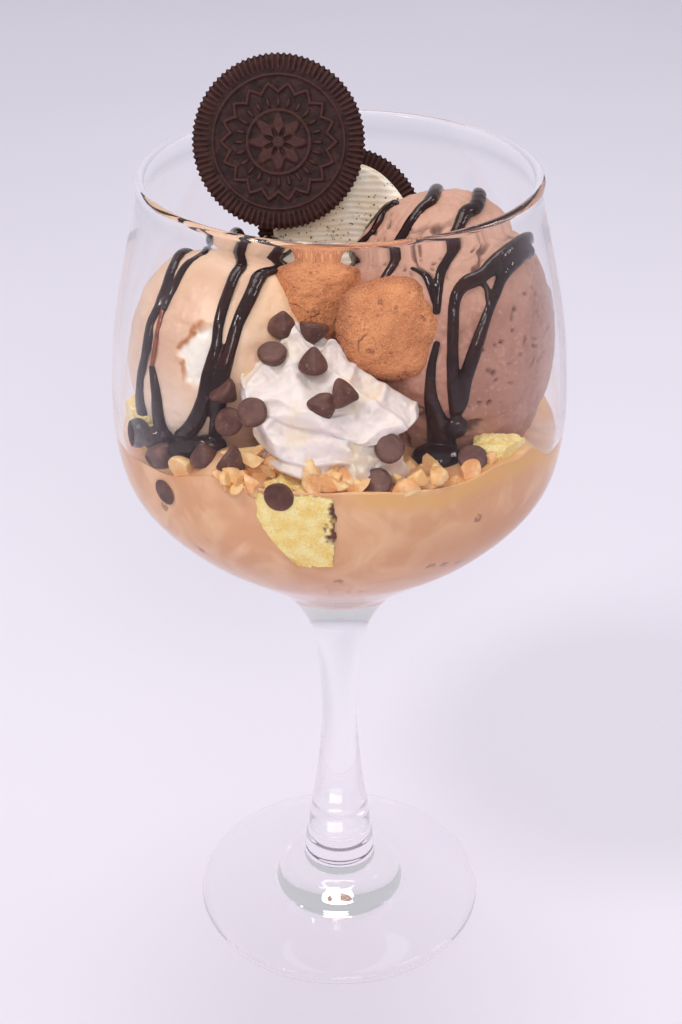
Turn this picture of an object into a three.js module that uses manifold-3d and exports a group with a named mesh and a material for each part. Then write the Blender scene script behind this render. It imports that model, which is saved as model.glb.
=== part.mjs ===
// An ice cream sundae built in its stemmed goblet glass.
// Millimetres, +Z up. The origin is the middle of the foot's underside, and the glass is seen from -Y.

import * as THREE from 'three';
import { mergeVertices } from 'three/addons/utils/BufferGeometryUtils.js';
import Module from 'manifold-3d';

// Clearance between neighbouring pieces.
const GAP = 0.35;

// Glass: the foot is a disc with a rounded edge, and the rim ends in a small bead.
const GLASS_SIDES = 28;
const FOOT_RADIUS = 44;
const FOOT_EDGE = 3.6;
const WALL = 1.8;
const RIM_BEAD = 1.3;
const RIM_RADIUS = 52;
const GLASS_HEIGHT = 239.9;
const BOWL_FLOOR = 119;

// The glass's outline as [radius, height], from the foot's dome up through the stem to the rim.
const DOME = [[21.5, 4.9], [20, 6.5], [18.8, 10], [15.8, 13.2], [11.4, 15.6]];
const KNUCKLE = [[10.9, 19], [10.5, 23], [9.6, 27]];
const STEM = [[9.1, 33], [6.6, 51], [5.3, 73], [7.2, 97], [11.3, 109]];
const BOWL = [
  [19.3, 119.6], [33, 131], [47.5, 143], [57.7, 156], [60.9, 170], [60.8, 185], [58.4, 205], [51, 237],
];
const BOWL_INSIDE_STEPS = 5;
const BOWL_INSIDE_START = 0.1;
const BOWL_FLOOR_CURVE = [[0, BOWL_FLOOR], [9, BOWL_FLOOR + 0.9], [17, BOWL_FLOOR + 3.4]];

// Caramel cream: its level, how it climbs at the front and falls at the sides, and one soft lump.
const CREAM_LEVEL = 176.5;
const CREAM_RADIUS = 58;
const CREAM_FRONT_RISE = 2;
const CREAM_SIDE_FALL = 7;
const CREAM_WAVE = 0.9;
const CREAM_LUMP = { x: -27, y: -43, height: 6, radius: 8.5 };

// Scoops of ice cream: centre and half sizes.
const VANILLA = { centre: [-28, -6, 192], half: [27, 32, 31] };
const CHOCOLATE = { centre: [27, -4, 196], half: [29, 33, 38.5] };

// Drizzles of sauce as [bearing, elevation] in degrees round a scoop.
// Bearing 0 is +X and -90 is the front. The long ones come up the back, cross the top and run down the front.
const VANILLA_DRIZZLES = [
  { radius: 2.3, route: [[125, 10], [130, 45], [172, 67], [-148, 55], [-136, 33], [-136, 12], [-142, -8]] },
  { radius: 1.5, route: [[110, 20], [115, 60], [-138, 66], [-131, 48], [-129, 22], [-129, 8]] },
  { radius: 2.2, route: [[85, 15], [90, 55], [-51, 76], [-84, 57], [-92, 35], [-96, 10], [-104, -8], [-116, -24]] },
  { radius: 2.2, route: [[40, 30], [45, 60], [-25, 66], [-58, 55], [-78, 37], [-87, 14], [-90, 0], [-88, -14]] },
];
const CHOCOLATE_DRIZZLES = [
  { radius: 1.4, route: [[140, 15], [150, 45], [164, 61], [-173, 53], [-168, 42]] },
  { radius: 1.9, route: [[92, 15], [95, 60], [129, 86], [-143, 73], [-133, 56], [-133, 42]] },
  { radius: 1.9, route: [[60, 15], [55, 55], [16, 71], [-50, 76], [-87, 61], [-98, 46], [-101, 31]] },
  { radius: 1.4, route: [[-130, 48], [-113, 43], [-103, 37], [-101, 28]] },
  { radius: 3.1, route: [[40, 5], [30, 30], [8, 42], [-29, 51], [-61, 48], [-79, 40], [-88, 28], [-90, 8], [-93, -20]] },
  { radius: 2.1, route: [[-46, 48], [-55, 41], [-67, 29], [-76, 15], [-84, 3], [-88, -8]] },
  { radius: 1.6, route: [[-100, 16], [-100, 0], [-98, -14], [-94, -24]] },
];
const DRIZZLE_SIDES = 5;
const DRIZZLE_SUNK = 0.1;
const DRIZZLE_DIVE = 3.5;

// Pools of sauce where the drizzles end, lying against the scoops.
const VANILLA_POOLS = [
  { centre: [-48, -24, 176], half: [6, 6, 3.4] },
  { centre: [-38, -36, 177], half: [7, 4.5, 3] },
];
const CHOCOLATE_POOLS = [
  { centre: [27, -36, 178], half: [9, 5, 3.4] },
];

// A pit in the vanilla scoop's front.
const PIT = { centre: [-35.5, -36, 204.5], half: [3.8, 4.2, 8] };

// Sandwich cookie in two halves: fluted chocolate wafers, and the filling on one of them.
const WAFER_RADIUS = 22.4;
const WAFER_THICK = 4;
const WAFER_FLUTES = 40;
const WAFER_SLOT_SIDES = 24;
const WAFER_FLUTE_DEPTH = 0.5;
const WAFER_FRONT = { centre: [-15.7, 12, 243.2], lean: 18 };
const WAFER_BACK = { centre: [0.5, 16, 217.5], lean: 21 };
const FILLING_RADIUS = 18;
const FILLING_THICK = 2.8;

// Small round cookies, domed towards the front.
const COOKIES = [
  { name: 'small_cookie_back', centre: [-5.2, -15.5, 212.6], half: [13.4, 12.4, 6.2], lean: 25 },
  { name: 'small_cookie_front', centre: [12.6, -30, 209.8], half: [13.8, 13.4, 6.6], lean: 22 },
];

// How far below its middle a small cookie is cut off flat, as a share of its half thickness.
const COOKIE_FLAT = 0.55;

// Whipped cream: star-piped turns that narrow and lean from the base to a tip.
const WHIP_BASE = [2.5, -44, 173];
const WHIP_TIP = [-11.5, -28, 210];
const WHIP_HALF = [21.5, 14.5];
const WHIP_LOBES = 7;
const WHIP_LOBE_DEPTH = 0.12;
const WHIP_TWIST = 2.4;
const WHIP_TURNS = 2.5;
const WHIP_TURN_DEPTH = 0.07;
const WHIP_FULLNESS = 0.6;
const WHIP_BELLY = 0.8;

// Sponge cake pieces: centre, size and turn in degrees about +Z.
const CAKES = [
  { name: 'cake_front', centre: [-10.5, -51, 168], size: [20, 15, 21], turn: -6 },
  { name: 'cake_left', centre: [-50, -20, 177], size: [13, 12, 13], turn: 20 },
  { name: 'cake_right', centre: [39.5, -37, 177], size: [13, 9, 9], turn: -25 },
];

// Chocolate chips: the middle of the chip, and the direction that its tip points.
const CHIP_RADIUS = 4;
const CHIP_HEIGHT = 6.6;
const CHIP_SIDES = 8;
const CHIP_OUTLINE = [[0, -1], [0.88, -1], [1, -0.68], [0.52, 0.3], [0, 1]];
const CHIPS = [
  { at: [-14.2, -29.5, 211.5], tip: [0, -0.3, 0.95] },
  { at: [-6.6, -31.5, 208.5], tip: [-0.2, -0.3, -0.9] },
  { at: [-16.2, -35.5, 204], tip: [0.05, 0.35, -0.93] },
  { at: [-6.4, -40.5, 206.4], tip: [0, -0.1, 1] },
  { at: [-5.1, -51, 199.2], tip: [-0.7, -0.5, 0.5] },
  { at: [1.8, -49.5, 201.3], tip: [0.95, -0.2, 0] },
  { at: [12, -50.5, 187], tip: [0, 0.87, -0.5] },
  { at: [-20.9, -47, 195], tip: [0, 0.87, -0.5] },
  { at: [-26, -41, 189.3], tip: [0.55, 0.7, -0.45] },
  { at: [-27.5, -38.5, 195.7], tip: [0.6, 0.2, -0.75] },
  { at: [-33.5, -42.5, 182], tip: [-0.1, -0.1, 1] },
  { at: [-25.6, -49.8, 182.5], tip: [0.7, -0.3, -0.5] },
  { at: [-14.2, -53.5, 179.5], tip: [0, -0.3, 0.95] },
  { at: [-44.5, -34, 177.5], tip: [0.3, -0.2, 0.9] },
  { at: [-41, -38, 170.5], tip: [0.2, 0.6, 0.6] },
  { at: [33, -41.5, 178.5], tip: [0.1, 0.5, -0.85] },
  { at: [9.5, -53.5, 178.5], tip: [0.2, 0.6, -0.6] },
  { at: [40, 30, 178], tip: [0.1, 0.1, 1] },
  { at: [-22, 42, 177.5], tip: [-0.6, 0.3, 0.5] },
];

// Chopped nuts as [x, y] places: on the cream, and on the front piece of cake.
const NUT_HALF = [2.9, 2.1, 1.8];
const CREAM_NUTS = [
  [-28, -50], [-23.5, -45.5], [-24, -52], [4, -55.5], [14, -51.5], [16, -55], [19, -47.5],
  [21.5, -52], [25, -47], [27.5, -51], [23, -43.5], [18, -43], [32, -47], [37, -41], [-38, -42],
  [30, 44], [-6, 50], [-40, 34], [8, 46],
];
const CAKE_NUTS = [
  [-18, -50], [-18, -55.5], [-9.5, -56], [-11, -50], [-6, -53], [-3, -56], [-4, -49], [-14, -46],
];
const NUT_SEED = 20;
const NUT_GROWTH = [0.8, 1.3];
const NUT_LIFT = 0.6;

// Unevenness of the soft surfaces: a share of their size, and the length of its waves.
const SCOOP_RELIEF = { share: 0.022, length: 24 };
const PIT_RELIEF = { share: 0.05, length: 7 };
const FILLING_RELIEF = { share: 0.02, length: 11 };
const COOKIE_RELIEF = { share: 0.05, length: 10 };
const CAKE_RELIEF = { share: 0.07, length: 9 };

// How finely the round bodies are faceted.
const SCOOP_DETAIL = 5;
const POOL_DETAIL = 1;
const PIT_DETAIL = 2;
const CREAM_CELLS = 9;

const wasm = await Module();
wasm.setup();

// The triangles' signed volume, which is positive where they face outwards.
function signedVolume(vertices, triangles) {
  const corners = [new THREE.Vector3(), new THREE.Vector3(), new THREE.Vector3()];
  let sum = 0;
  for (let i = 0; i < triangles.length; i += 3) {
    corners.forEach((corner, k) => corner.fromArray(vertices, 3 * triangles[i + k]));
    sum += corners[0].dot(corners[1].cross(corners[2])) / 6;
  }
  return sum;
}

// A closed geometry as a solid: coinciding vertices are shared and the faces point outwards.
function solid(geometry) {
  const bare = geometry.clone();
  bare.deleteAttribute('normal');
  bare.deleteAttribute('uv');
  const shared = mergeVertices(bare, 1e-4);
  const vertices = shared.getAttribute('position').array;
  const triangles = [];
  for (let i = 0; i < shared.index.count; i += 3) {
    const [a, b, c] = [shared.index.getX(i), shared.index.getX(i + 1), shared.index.getX(i + 2)];
    if (a !== b && b !== c && c !== a) {
      triangles.push(a, b, c);
    }
  }
  if (signedVolume(vertices, triangles) < 0) {
    triangles.reverse();
  }
  const mesh = new wasm.Mesh({
    numProp: 3,
    vertProperties: Float32Array.from(vertices),
    triVerts: Uint32Array.from(triangles),
  });
  return new wasm.Manifold(mesh);
}

// A solid back as a geometry.
function geometryOf(body) {
  const mesh = body.getMesh();
  const geometry = new THREE.BufferGeometry();
  geometry.setAttribute('position', new THREE.BufferAttribute(Float32Array.from(mesh.vertProperties), 3));
  geometry.setIndex(Array.from(mesh.triVerts));
  return geometry;
}

// The body grown outwards by the gap: each vertex moves along its normal.
function grown(body, gap = GAP) {
  const geometry = geometryOf(body);
  geometry.computeVertexNormals();
  const position = geometry.getAttribute('position');
  const normal = geometry.getAttribute('normal');
  for (let i = 0; i < position.count; i += 1) {
    position.setXYZ(
      i,
      position.getX(i) + gap * normal.getX(i),
      position.getY(i) + gap * normal.getY(i),
      position.getZ(i) + gap * normal.getZ(i),
    );
  }
  return solid(geometry);
}

// The largest of the pieces that a cut leaves, so that a node stays one body.
function largest(body) {
  return body.decompose().reduce((best, piece) => (piece.volume() > best.volume() ? piece : best));
}

// A body without the space that other bodies take.
function cutBy(body, others) {
  return largest(others.reduce((left, other) => left.subtract(other), body));
}

// A geometry with every vertex moved by a function.
function shaped(geometry, move) {
  const position = geometry.getAttribute('position');
  const point = new THREE.Vector3();
  for (let i = 0; i < position.count; i += 1) {
    move(point.fromBufferAttribute(position, i));
    position.setXYZ(i, point.x, point.y, point.z);
  }
  return geometry;
}

// Smooth unevenness between -1 and 1, from crossing waves of one length.
function wave(point, length, phase) {
  const k = 2 * Math.PI / length;
  const { x, y, z } = point;
  return (Math.sin(k * x + phase) * Math.cos(k * y - 2 * phase)
    + Math.sin(k * y + 3 * phase) * Math.cos(k * z + phase)
    + Math.sin(k * z - phase) * Math.cos(k * x + 2 * phase)) / 3;
}

// A seeded generator of numbers between 0 and 1.
function generator(seed) {
  let state = seed;
  return () => {
    state = (state * 16807) % 2147483647;
    return state / 2147483647;
  };
}

// A turned solid from an outline of [radius, height] points.
function turned(outline, sides) {
  const points = outline.map(([radius, height]) => new THREE.Vector2(radius, height));
  return new THREE.LatheGeometry(points, sides).rotateX(Math.PI / 2);
}

// Points on an arc, angles in degrees.
function arc([x, y], radius, from, to, steps) {
  return Array.from({ length: steps + 1 }, (_, i) => {
    const angle = THREE.MathUtils.degToRad(from + (to - from) * i / steps);
    return [x + radius * Math.cos(angle), y + radius * Math.sin(angle)];
  });
}

// A smooth line through [radius, height] points, with a point more between each two of the bowl's.
function glassOutside() {
  const knots = [...DOME, ...KNUCKLE, ...STEM, ...BOWL];
  const curve = new THREE.SplineCurve(knots.map((point) => new THREE.Vector2(...point)));
  const bowlStart = knots.length - BOWL.length;
  const points = [];
  for (let i = 0; i < knots.length; i += i < bowlStart ? 1 : 0.5) {
    const { x, y } = curve.getPoint(Math.min(1, i / (knots.length - 1)));
    points.push([x, y]);
  }
  return points.slice(0, -1);
}

// The bowl's inside, a given distance in from its outer face, from the floor up to the rim.
function insideOutline(distance) {
  const curve = new THREE.SplineCurve(BOWL.map((point) => new THREE.Vector2(...point)));
  const wall = Array.from({ length: BOWL_INSIDE_STEPS + 1 }, (_, i) => {
    const along = THREE.MathUtils.lerp(BOWL_INSIDE_START, 1, i / BOWL_INSIDE_STEPS);
    const point = curve.getPoint(along);
    const tangent = curve.getTangent(along);
    return [point.x - distance * tangent.y, point.y + distance * tangent.x];
  });
  const lift = distance - WALL;
  const floor = BOWL_FLOOR_CURVE.map(([radius, height]) => [radius, height + lift]);
  return [...floor, ...wall];
}

// The whole glass in one piece.
function glass() {
  const edge = FOOT_EDGE / 2;
  const rim = [RIM_RADIUS - RIM_BEAD, GLASS_HEIGHT - RIM_BEAD];
  const outline = [
    [0, 0],
    ...arc([FOOT_RADIUS - edge, edge], edge, -90, 90, 3),
    ...glassOutside(),
    ...arc(rim, RIM_BEAD, 0, 180, 4),
    ...insideOutline(WALL).reverse().slice(1),
  ];
  return solid(turned(outline, GLASS_SIDES));
}

// The space inside the bowl that the contents may fill, open upwards past the rim.
function bowlSpace() {
  const outline = insideOutline(WALL + GAP);
  const mouth = outline[outline.length - 1][0];
  const top = GLASS_HEIGHT + 2 * WAFER_RADIUS;
  return solid(turned([...outline, [mouth, top], [0, top]], GLASS_SIDES));
}

// The cream's surface height at a place.
function creamTop(x, y) {
  const reach = CREAM_RADIUS;
  const lump = Math.hypot(x - CREAM_LUMP.x, y - CREAM_LUMP.y) / CREAM_LUMP.radius;
  return CREAM_LEVEL - CREAM_FRONT_RISE * y / reach - CREAM_SIDE_FALL * (x / reach) ** 2
    + CREAM_WAVE * wave({ x, y, z: 0 }, 27, 1.3) + CREAM_LUMP.height * Math.exp(-(lump ** 2));
}

// The bowl's space below the cream's surface.
function cream(space) {
  const side = 2.2 * CREAM_RADIUS;
  const depth = CREAM_LEVEL;
  const block = new THREE.BoxGeometry(side, side, depth, CREAM_CELLS, CREAM_CELLS, 1);
  const below = shaped(block, (point) => {
    point.z = point.z > 0 ? creamTop(point.x, point.y) : 0;
  });
  return space.intersect(solid(below));
}

// Chopped nuts half sunk in what they lie on, whose height is a function of the place.
function nuts(places, height) {
  const random = generator(NUT_SEED);
  return places.map(([x, y]) => {
    const nut = new THREE.OctahedronGeometry(1, 0);
    const grow = THREE.MathUtils.lerp(...NUT_GROWTH, random());
    nut.scale(...NUT_HALF.map((half) => half * grow));
    nut.rotateX(Math.PI * random()).rotateZ(Math.PI * random());
    nut.translate(x, y, height(x, y) + NUT_LIFT);
    return solid(nut);
  });
}

// Points round a circle, every second one drawn in by a depth.
function round(radius, count, depth = 0) {
  return Array.from({ length: count }, (_, i) => {
    const angle = 2 * Math.PI * i / count;
    const reach = radius - (i % 2) * depth;
    return new THREE.Vector2(reach * Math.cos(angle), reach * Math.sin(angle));
  });
}

// A place on a scoop, by bearing and elevation in degrees, sunk by a depth.
function onScoop({ centre, half }, [bearing, elevation], sunk) {
  const b = THREE.MathUtils.degToRad(bearing);
  const e = THREE.MathUtils.degToRad(elevation);
  const direction = [Math.cos(e) * Math.cos(b), Math.cos(e) * Math.sin(b), Math.sin(e)];
  return new THREE.Vector3(...direction.map((part, i) => centre[i] + (half[i] - sunk) * part));
}

// A line of sauce over a scoop. Both its ends dive into the ice cream.
function drizzle(scoop, { radius, route }) {
  const points = route.map((place, i) => {
    const end = i === 0 || i === route.length - 1;
    return onScoop(scoop, place, DRIZZLE_SUNK * radius + (end ? DRIZZLE_DIVE : 0));
  });
  const section = new THREE.Shape(round(radius, DRIZZLE_SIDES));
  const path = new THREE.CatmullRomCurve3(points);
  const options = { steps: route.length, bevelEnabled: false, extrudePath: path };
  return solid(new THREE.ExtrudeGeometry(section, options));
}

// A round body of given half sizes, with an uneven surface.
function lump({ centre, half }, detail, relief, phase) {
  const ball = new THREE.IcosahedronGeometry(1, detail).scale(...half);
  shaped(ball, (point) => point.multiplyScalar(1 + relief.share * wave(point, relief.length, phase)));
  return solid(ball.translate(...centre));
}

// A scoop of ice cream and the sauce on it.
function scoop(size, drizzles, pools, phase) {
  return [
    lump(size, SCOOP_DETAIL, SCOOP_RELIEF, phase),
    ...drizzles.map((line) => drizzle(size, line)),
    ...pools.map((pool) => lump(pool, POOL_DETAIL, PIT_RELIEF, phase)),
  ];
}

// A flat round disc of an outline, standing and leaning back.
function standingDisc(outline, thick, { centre, lean }) {
  const disc = new THREE.ExtrudeGeometry(new THREE.Shape(outline), { depth: thick, bevelEnabled: false });
  disc.translate(0, 0, -thick / 2);
  return solid(stood(disc, lean, centre));
}

// A wafer with a fluted edge.
function wafer(place) {
  return standingDisc(round(WAFER_RADIUS, 2 * WAFER_FLUTES, WAFER_FLUTE_DEPTH), WAFER_THICK, place);
}

// The plain slot that a wafer presses into what it stands in.
function waferSlot(place) {
  return standingDisc(round(WAFER_RADIUS + GAP, WAFER_SLOT_SIDES), WAFER_THICK + 2 * GAP, place);
}

// A flat piece stood up with its +Z side to the front, leant back by degrees and moved into place.
function stood(geometry, lean, centre) {
  return geometry.rotateX(THREE.MathUtils.degToRad(90 - lean)).translate(...centre);
}

// The disc of filling on the front of the back wafer.
function filling() {
  const disc = new THREE.CylinderGeometry(FILLING_RADIUS, FILLING_RADIUS, FILLING_THICK, 24, 1);
  shaped(disc, (point) => {
    const spread = 1 + FILLING_RELIEF.share * wave(point, FILLING_RELIEF.length, 0);
    point.x *= spread;
    point.z *= spread;
  });
  disc.rotateX(Math.PI / 2).translate(0, 0, (WAFER_THICK + FILLING_THICK) / 2 + 1.2 * GAP);
  return solid(stood(disc, WAFER_BACK.lean, WAFER_BACK.centre));
}

// A small domed cookie with an uneven top.
function smallCookie({ centre, half, lean }) {
  const dome = new THREE.SphereGeometry(1, 12, 8).scale(...half);
  shaped(dome, (point) => {
    point.multiplyScalar(1 + COOKIE_RELIEF.share * wave(point, COOKIE_RELIEF.length, centre[0]));
    point.z = Math.max(point.z, -COOKIE_FLAT * half[2]);
  });
  return solid(stood(dome, lean, centre));
}

// The heap of whipped cream: lobed rings that swell and narrow along a leaning line.
function whippedCream() {
  const base = new THREE.Vector3(...WHIP_BASE);
  const tip = new THREE.Vector3(...WHIP_TIP);
  const ball = new THREE.SphereGeometry(1, 28, 9);
  shaped(ball.rotateX(Math.PI / 2), (point) => {
    const along = (point.z + 1) / 2;
    const angle = Math.atan2(point.y, point.x);
    const lobes = 1 + WHIP_LOBE_DEPTH * Math.cos(WHIP_LOBES * (angle + WHIP_TWIST * along));
    const turns = 1 + WHIP_TURN_DEPTH * Math.cos(2 * Math.PI * WHIP_TURNS * along - angle);
    const width = Math.sin(Math.PI * along ** WHIP_BELLY) ** WHIP_FULLNESS * lobes * turns;
    const centre = base.clone().lerp(tip, along);
    point.set(
      centre.x + WHIP_HALF[0] * width * Math.cos(angle),
      centre.y + WHIP_HALF[1] * width * Math.sin(angle),
      centre.z,
    );
  });
  return solid(ball);
}

// A torn piece of sponge.
function cake({ centre, size, turn }) {
  const block = new THREE.BoxGeometry(...size, 3, 2, 2);
  shaped(block, (point) => {
    point.multiplyScalar(1 + CAKE_RELIEF.share * wave(point, CAKE_RELIEF.length, centre[0]));
  });
  return solid(block.rotateZ(THREE.MathUtils.degToRad(turn)).translate(...centre));
}

// A chocolate chip: a drop with a flat base, turned so that its tip points a given way.
function chip({ at, tip }) {
  const half = CHIP_HEIGHT / 2;
  const outline = CHIP_OUTLINE.map(([radius, height]) => [radius * CHIP_RADIUS, height * half]);
  const turn = new THREE.Quaternion();
  turn.setFromUnitVectors(new THREE.Vector3(0, 0, 1), new THREE.Vector3(...tip).normalize());
  return solid(turned(outline, CHIP_SIDES).applyQuaternion(turn).translate(...at));
}

// Colours and finishes.
const LOOKS = {
  glass: { color: 0xe8eef0, roughness: 0.05, metalness: 0 },
  caramel: { color: 0xc9956a, roughness: 0.35, metalness: 0 },
  vanilla: { color: 0xe6c49c, roughness: 0.5, metalness: 0 },
  chocolate: { color: 0x8d6254, roughness: 0.55, metalness: 0 },
  wafer: { color: 0x3a2420, roughness: 0.7, metalness: 0 },
  filling: { color: 0xf0e6c8, roughness: 0.6, metalness: 0 },
  cookie: { color: 0xc98450, roughness: 0.8, metalness: 0 },
  whip: { color: 0xf8f4f0, roughness: 0.5, metalness: 0 },
  cake: { color: 0xe8cf78, roughness: 0.9, metalness: 0 },
  chip: { color: 0x4a3029, roughness: 0.55, metalness: 0 },
};

const group = new THREE.Group();

function put(name, body, look) {
  const mesh = new THREE.Mesh(geometryOf(body), new THREE.MeshStandardMaterial(LOOKS[look]));
  mesh.name = name;
  group.add(mesh);
}

// The firm pieces come first, and each piece gives way to those before it.
const space = bowlSpace();
put('glass', glass(), 'glass');

const taken = [];
function putNext(name, parts, look, slots = parts.map((part) => grown(part))) {
  const body = parts.reduce((whole, part) => whole.add(part)).intersect(space);
  put(name, cutBy(body, taken), look);
  taken.push(...slots);
}

putNext('wafer_front', [wafer(WAFER_FRONT)], 'wafer', [waferSlot(WAFER_FRONT)]);
putNext('wafer_back', [wafer(WAFER_BACK)], 'wafer', [waferSlot(WAFER_BACK)]);
putNext('wafer_filling', [filling()], 'filling');
COOKIES.forEach((one) => putNext(one.name, [smallCookie(one)], 'cookie'));
CHIPS.forEach((one, i) => putNext(`chip_${String(i + 1).padStart(2, '0')}`, [chip(one)], 'chip'));
CAKES.forEach((one, i) => {
  const top = one.centre[2] + one.size[2] / 2;
  putNext(one.name, [cake(one), ...(i === 0 ? nuts(CAKE_NUTS, () => top) : [])], 'cake');
});

const vanilla = scoop(VANILLA, VANILLA_DRIZZLES, VANILLA_POOLS, 0.7);
const vanillaSlots = vanilla.map((part) => grown(part));
vanilla[0] = vanilla[0].subtract(lump(PIT, PIT_DETAIL, PIT_RELIEF, 1));
putNext('scoop_vanilla', vanilla, 'vanilla', vanillaSlots);
putNext('scoop_chocolate', scoop(CHOCOLATE, CHOCOLATE_DRIZZLES, CHOCOLATE_POOLS, 2.1), 'chocolate');
putNext('caramel_cream', [cream(space), ...nuts(CREAM_NUTS, creamTop)], 'caramel');
putNext('whipped_cream', [whippedCream()], 'whip');

export default group;
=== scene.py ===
"""An ice cream sundae in its stemmed goblet glass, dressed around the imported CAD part.

Metres, +Z up, seen from -Y. The origin is the middle of the glass's foot.
"""

import itertools
import math

import bpy
import numpy as np
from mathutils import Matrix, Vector


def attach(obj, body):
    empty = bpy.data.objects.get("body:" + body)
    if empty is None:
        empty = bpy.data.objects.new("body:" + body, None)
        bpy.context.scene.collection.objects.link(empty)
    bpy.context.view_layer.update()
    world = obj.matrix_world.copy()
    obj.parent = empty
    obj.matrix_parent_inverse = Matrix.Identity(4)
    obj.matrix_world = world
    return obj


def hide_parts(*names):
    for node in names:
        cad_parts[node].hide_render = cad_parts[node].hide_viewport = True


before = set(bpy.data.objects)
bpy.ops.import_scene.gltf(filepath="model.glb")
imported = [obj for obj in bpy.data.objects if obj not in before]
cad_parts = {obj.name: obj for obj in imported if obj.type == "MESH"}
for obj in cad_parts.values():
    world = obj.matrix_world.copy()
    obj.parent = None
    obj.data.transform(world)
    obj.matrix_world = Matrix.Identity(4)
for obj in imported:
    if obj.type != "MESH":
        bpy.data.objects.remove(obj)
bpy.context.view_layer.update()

# Glass
WALL = 0.0018
RIM_BEAD = 0.0013
RIM_RADIUS = 0.052
GLASS_HEIGHT = 0.2399
FOOT_RADIUS = 0.044
FOOT_EDGE = 0.0036
FOOT_HOLLOW = 0.0012
GLASS_SIDES = 160
EDGE_POINTS = 13
# How much it bends light, and how strongly it shines, on the whole and at the rim and the foot
GLASS_BENDING = 1.38
GLASS_SHINE = 0.34
EDGE_SHINE = 1.0
GLASS_TINT = (0.99, 0.985, 0.995, 1)
# A ray that has shone off more faces than this goes straight through
TRAPPED_DEPTH = 1.5
DOME = [(0.0215, 0.0049), (0.02, 0.0065), (0.0188, 0.01), (0.0158, 0.0132), (0.0114, 0.0156)]
KNUCKLE = [(0.0109, 0.019), (0.0105, 0.023), (0.0096, 0.027)]
STEM = [(0.0091, 0.033), (0.0066, 0.051), (0.0053, 0.073), (0.0072, 0.097), (0.0113, 0.109)]
BOWL = [
    (0.0193, 0.1196), (0.033, 0.131), (0.0475, 0.143), (0.0577, 0.156),
    (0.0609, 0.17), (0.0608, 0.185), (0.0584, 0.205), (0.051, 0.237),
]
BOWL_STEPS = 12
BOWL_FLOOR_CURVE = [(0.0, 0.119), (0.009, 0.1199), (0.017, 0.1224)]
BOWL_FLOOR_STEPS = 6
BOWL_FLOOR_POINTS = 18
BOWL_INSIDE_START = 0.1

# Caramel cream
CREAM_LEVEL = 0.1765
CREAM_RADIUS = 0.058
CREAM_FRONT_RISE = 0.002
CREAM_SIDE_FALL = 0.007
CREAM_WAVE = 0.0009
CREAM_SIDES = 240
# Where it stands higher, at a lump and against the right piece of cake: middle, height, radius
CREAM_BANKS = [
    (-0.027, -0.043, 0.006, 0.0085), (0.0395, -0.0425, 0.0045, 0.0085), (0.045, -0.0325, 0.007, 0.006),
]
CREAM_INTO_WALL = 0.0003
# Crumbs of cookie seen in it through the glass
CREAM_SPECKS = [
    (-0.0346, -0.0424, 0.1539), (0.0001, -0.0526, 0.1513), (0.034, -0.0476, 0.1659),
    (0.0229, -0.0496, 0.1539), (0.0258, -0.047, 0.1525), (0.03, -0.043, 0.1515),
    (-0.044, -0.039, 0.164), (0.006, -0.047, 0.1435),
]
# How far the cream climbs up the wall, and over what distance
CREAM_MENISCUS = 0.0012
CREAM_MENISCUS_REACH = 0.0015

# Scoops
VANILLA = {"centre": (-0.028, -0.006, 0.192), "half": (0.027, 0.032, 0.031), "phase": 0.7}
CHOCOLATE = {"centre": (0.027, -0.004, 0.196), "half": (0.029, 0.033, 0.0385), "phase": 2.1}
SCOOP_RELIEF = 0.022
SCOOP_WAVE = 0.024
SCOOP_CUTS = 110
# Long holes in the brown scoop: low at the right, and near its top
CHOCOLATE_SLITS = [
    (0.0335, -0.035, 0.186), (0.03, -0.0355, 0.1845),
    (0.026, -0.0182, 0.2307), (0.0058, 0.0045, 0.2262),
]
CHOCOLATE_SLIT_HALF = (0.0042, 0.003, 0.0011)
PIT_CENTRE = (-0.0345, -0.0345, 0.2045)
PIT_HALF = (0.0046, 0.005, 0.0086)

# Drizzles of sauce: bearing and elevation in degrees round a scoop, and radius in millimetres
VANILLA_DRIZZLES = [
    [(125, 10, 1.6), (130, 45, 1.6), (144, 60, 1.6), (-161, 58, 1.5), (-143, 42, 1.4), (-142, 31, 1.3),
     (-140, 21, 1.2), (-141, 10, 1.1), (-143, -3, 1.4), (-146, -17, 2.2)],
    [(110, 20, 1.1), (115, 60, 1.1), (180, 78, 1.0), (-147, 69, 0.8), (-144, 61, 1.1), (-139, 50, 1.0),
     (-136, 39, 0.8)],
    [(-134, 12, 0.8), (-131, 6, 1.2), (-129, -3, 1.4), (-131, -17, 2.0)],
    [(85, 15, 1.4), (90, 55, 1.4), (-55, 76, 1.4), (-83, 60, 1.4), (-91, 47, 1.4), (-94, 37, 1.3),
     (-95, 28, 1.3), (-99, 16, 1.4), (-101, 4, 1.7), (-106, -8, 2.0), (-116, -20, 2.2)],
    [(40, 30, 1.6), (45, 60, 1.6), (-7, 61, 1.7), (-49, 61, 1.8), (-70, 50, 1.7), (-81, 39, 1.5),
     (-86, 29, 1.6), (-90, 19, 1.8), (-93, 8, 1.9), (-94, -2, 1.8), (-96, -14, 1.8)],
]
AMBER_DRIZZLE = [(-137, 41, 0.7), (-134, 26, 0.55), (-134, 12, 0.55)]
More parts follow.
